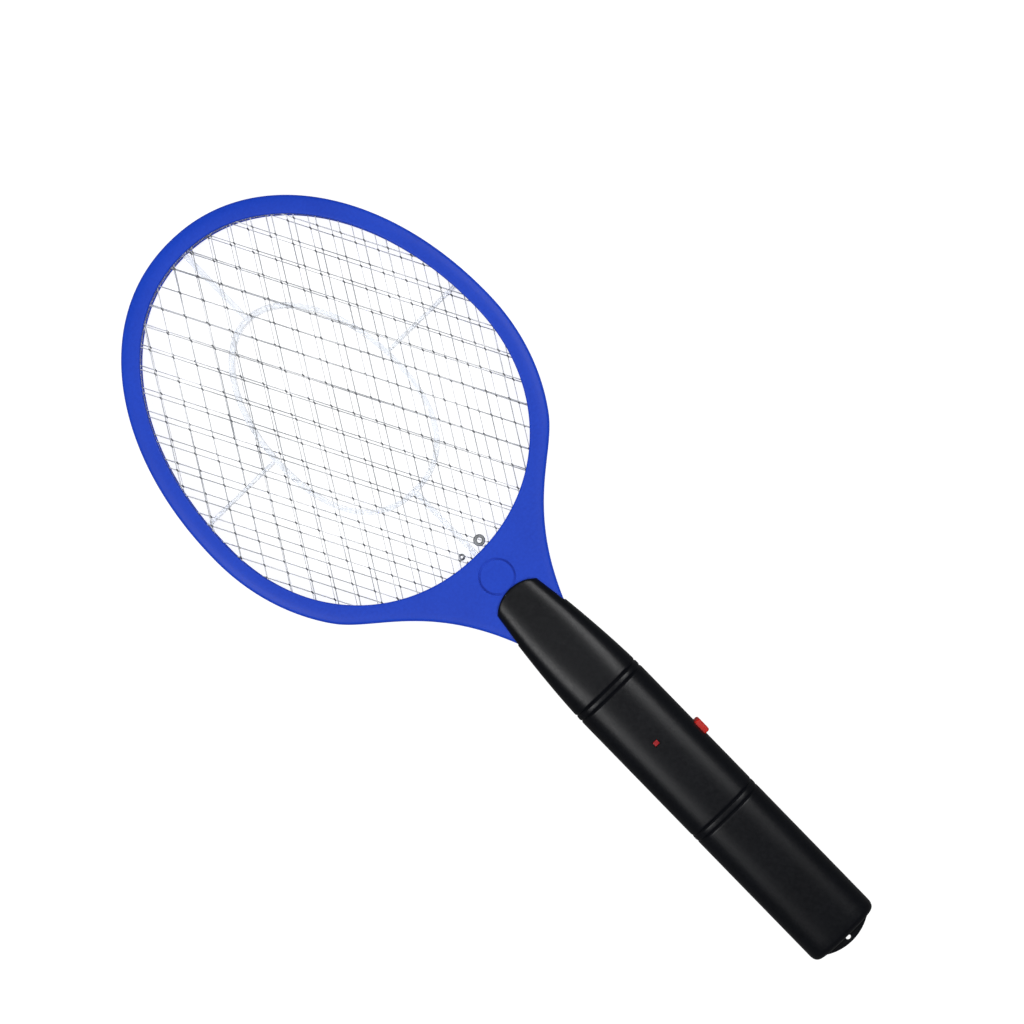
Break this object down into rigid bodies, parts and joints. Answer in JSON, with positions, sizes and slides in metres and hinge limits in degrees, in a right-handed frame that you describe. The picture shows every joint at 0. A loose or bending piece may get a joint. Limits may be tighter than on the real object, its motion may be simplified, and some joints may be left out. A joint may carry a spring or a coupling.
{
  "type": "electric fly swatter",
  "caption": "Racket-shaped electric insect swatter: egg-shaped head with layered metal grids, hollow grip with side push button, indicator lamp and sliding battery cover.",
  "frame": {"origin": "under the middle of the swatter's length and width, level with the back of the handle", "axes": "+X to the push-button side, +Y along the swatter to the tip of the head, +Z out of the front face"},
  "size_m": [0.1714, 0.44, 0.028],
  "materials": {
    "blue_plastic": "moulded, semi gloss",
    "black_plastic": "moulded, satin",
    "red_plastic": "moulded, semi gloss",
    "red_lens": "polished, tinted",
    "pale_plastic": "moulded, milky",
    "grid_metal": "slit and stretched, bare",
    "zinc_steel": "zinc plated",
    "spring_steel": "drawn wire, nickel plated",
    "copper_wire": "enamelled",
    "ferrite": "sintered, matt",
    "board_green": "solder mask",
    "black_part": "moulded, matt",
    "green_film": "dipped lacquer",
    "tan_ceramic": "lacquered",
    "cell_jacket": "printed foil, plain bands",
    "white_sleeve": "extruded",
    "red_sleeve": "extruded",
    "black_sleeve": "extruded"
  },
  "bodies": {
    "root": {"head_front_frame": "blue_plastic", "head_rear_frame": "blue_plastic", "front_grid": "grid_metal", "middle_grid": "grid_metal", "rear_grid": "grid_metal", "front_spacer": "pale_plastic", "rear_spacer": "pale_plastic", "front_grid_rivet": "zinc_steel", "rear_grid_rivet": "zinc_steel", "handle_front_shell": "black_plastic", "handle_rear_shell": "black_plastic", "neck_screw_left": "zinc_steel", "neck_screw_right": "zinc_steel", "upper_shell_screw_left": "zinc_steel", "upper_shell_screw_right": "zinc_steel", "lower_shell_screw_left": "zinc_steel", "lower_shell_screw_right": "zinc_steel", "battery_cell_left": "cell_jacket", "battery_cell_right": "cell_jacket", "cell_spring_left": "spring_steel", "cell_spring_right": "spring_steel", "plus_contact_plate": "zinc_steel", "minus_contact_plate": "zinc_steel", "cell_bridge_plate": "zinc_steel", "circuit_board": "board_green", "board_screw_front": "zinc_steel", "board_screw_rear": "zinc_steel", "transformer_core": "ferrite", "transformer_bobbin": "black_part", "transformer_winding": "copper_wire", "film_capacitor": "green_film", "filter_capacitor": "black_part", "transistor": "black_part", "rectifier_diode_1": "black_part", "rectifier_diode_2": "black_part", "rectifier_diode_3": "black_part", "resistor_1": "tan_ceramic", "resistor_2": "tan_ceramic", "power_led": "red_lens", "fixed_contact_upper": "zinc_steel", "fixed_contact_lower": "zinc_steel", "switch_base": "black_part", "button_spring": "spring_steel", "front_grid_lead": "white_sleeve", "middle_grid_lead": "red_sleeve", "rear_grid_lead": "black_sleeve", "battery_plus_lead": "red_sleeve", "battery_minus_lead": "black_sleeve"},
    "button": {"power_button": "red_plastic", "contact_bridge": "zinc_steel"},
    "door": {"battery_door": "black_plastic"}
  },
  "joints": [
    {"name": "button_press", "type": "slide", "parent": "root", "child": "button", "axis": [-1, 0, 0], "range_m": [0, 0.0018], "stiffness_N_per_m": 300, "springref_m": -0.002, "deforming": ["button_spring"]},
    {"name": "battery_door_slide", "type": "slide", "parent": "root", "child": "door", "axis": [0, -1, 0], "range_m": [0, 0.08]}
  ]
}
